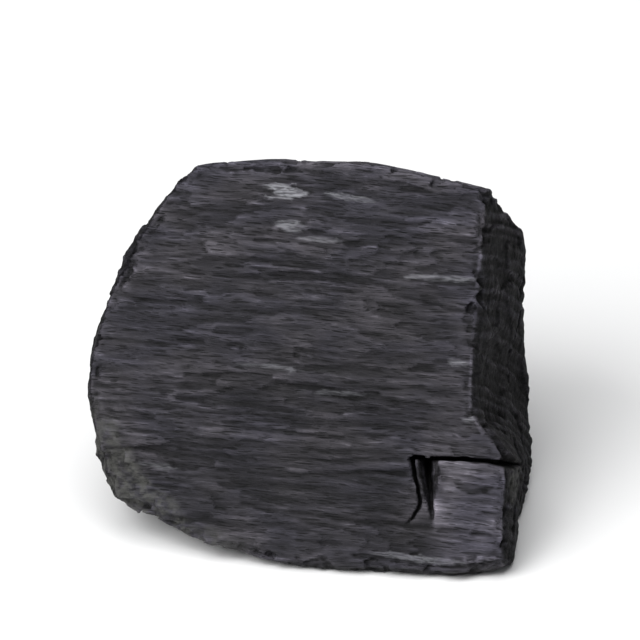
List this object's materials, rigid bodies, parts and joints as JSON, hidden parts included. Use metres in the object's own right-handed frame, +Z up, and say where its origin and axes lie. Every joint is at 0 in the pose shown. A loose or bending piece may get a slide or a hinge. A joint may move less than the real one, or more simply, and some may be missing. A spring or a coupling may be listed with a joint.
{
  "type": "charcoal lump",
  "caption": "Lump of hardwood charcoal, a wedge split from a charred log and broken across the grain at both ends, for a grill or fire bed.",
  "frame": {"origin": "middle of the lump's box at its bottom, on the surface that it lies on", "axes": "+X along the wood's grain, from the rounded break to the cross break with the corner block; -Y out of the large split face; +Z up"},
  "size_m": [0.067, 0.0596, 0.0536],
  "materials": {
    "charcoal": "satin"
  },
  "bodies": {
    "root": {"charcoal_lump": "charcoal"}
  },
  "joints": []
}
